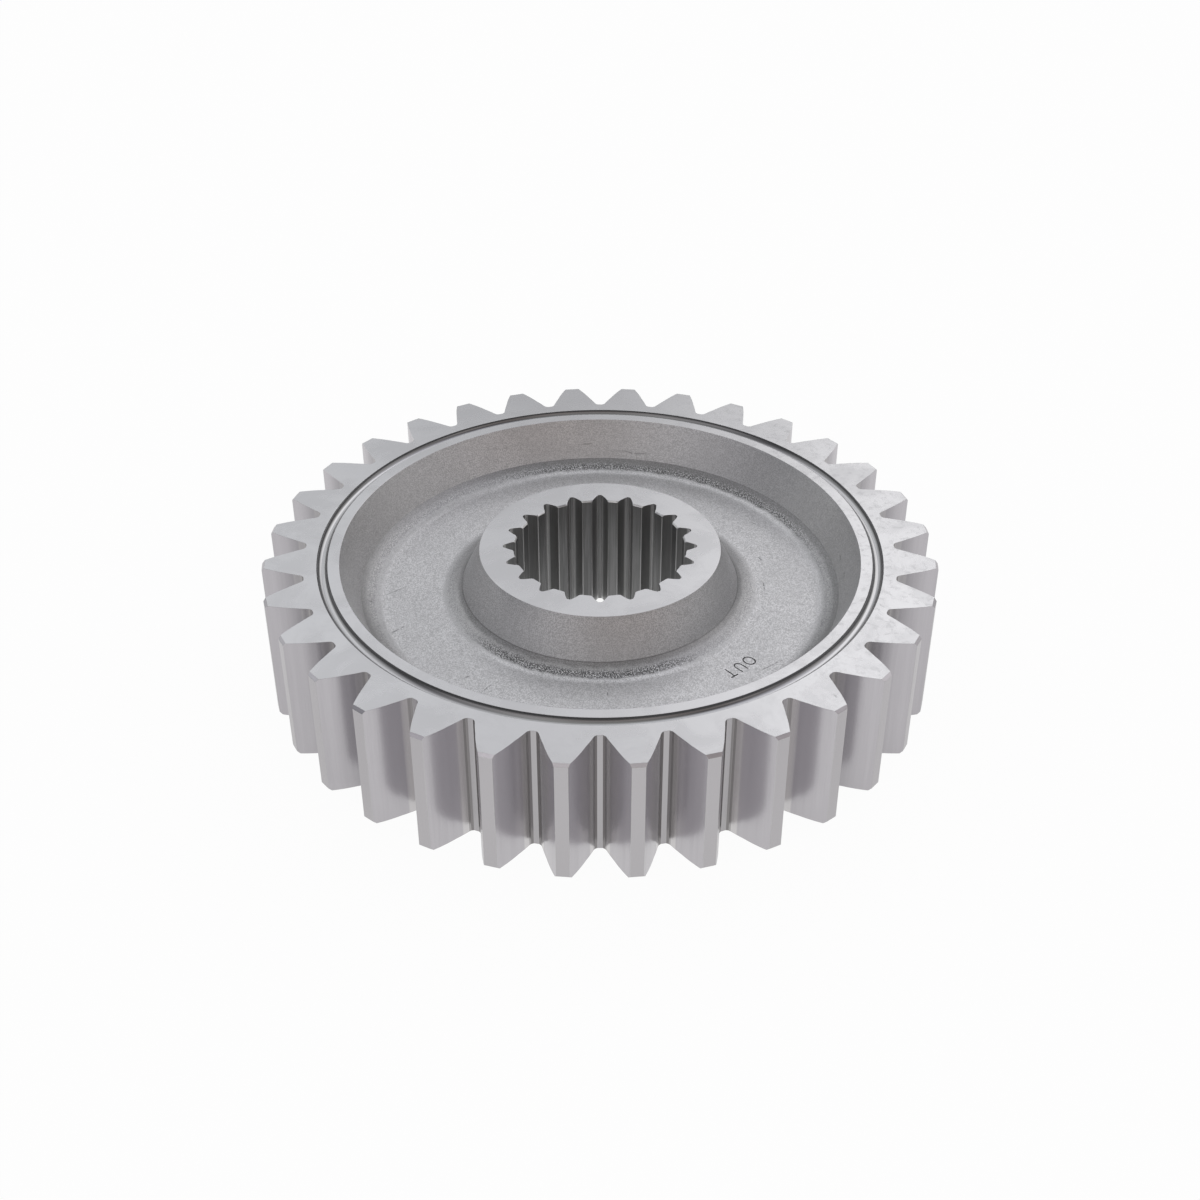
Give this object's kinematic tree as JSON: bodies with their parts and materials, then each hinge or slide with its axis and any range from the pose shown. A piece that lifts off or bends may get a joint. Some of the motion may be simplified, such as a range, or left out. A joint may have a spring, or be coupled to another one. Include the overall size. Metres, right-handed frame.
{
  "type": "sun gear",
  "caption": "Straight-toothed sun gear with a dished web on both sides, a narrow groove round one face and a splined bore.",
  "frame": {"origin": "on the axis, in the lower rim face that the gear stands on", "axes": "+Z along the axis, towards the face with the narrow round groove; a tooth space and a spline groove look towards -Y"},
  "size_m": [0.1864, 0.1864, 0.037],
  "materials": {
    "gear_steel": "turned faces, ground flanks and a shot-blasted forged web"
  },
  "bodies": {
    "root": {"sun_gear": "gear_steel"}
  },
  "joints": []
}
